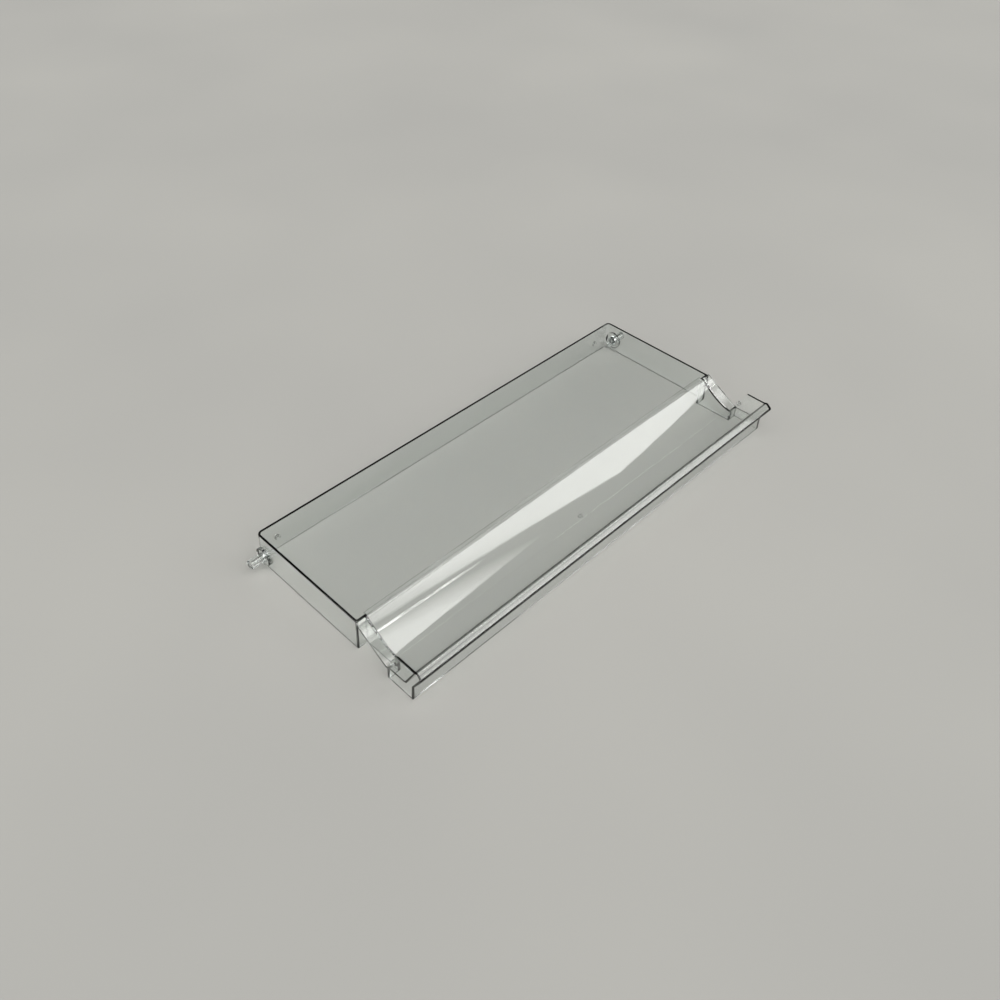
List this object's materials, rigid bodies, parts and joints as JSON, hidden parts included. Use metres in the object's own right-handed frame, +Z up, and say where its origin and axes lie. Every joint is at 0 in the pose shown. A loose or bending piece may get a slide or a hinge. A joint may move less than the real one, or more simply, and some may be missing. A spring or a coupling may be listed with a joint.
{
  "type": "refrigerator compartment cover",
  "caption": "Clear hinged refrigerator compartment cover: flat panel with short walls, a curled finger trough along the front, and pivot pins at the back.",
  "frame": {"origin": "middle of the overall length and depth, on the plane of the rims that the cover rests on", "axes": "+X along the length from the left pin to the right pin, +Y to the back where the pins are, +Z up through the panel"},
  "size_m": [0.5056, 0.216, 0.0359],
  "materials": {
    "clear_plastic": "clear, polished, faint green edge tint"
  },
  "bodies": {
    "cover": {"cover": "clear_plastic", "front_grip": "clear_plastic"},
    "left_pin": {"left_pivot_pin": "clear_plastic"},
    "right_pin": {"right_pivot_pin": "clear_plastic"}
  },
  "joints": [
    {"name": "left_pivot", "type": "hinge", "parent": "cover", "child": "left_pin", "pos_m": [-0.2365, 0.0972, 0.0115], "axis": [1, 0, 0], "range_deg": [0, 100]},
    {"name": "right_pivot", "type": "hinge", "parent": "cover", "child": "right_pin", "pos_m": [0.2365, 0.0972, 0.0115], "axis": [1, 0, 0], "range_deg": [0, 100]}
  ]
}
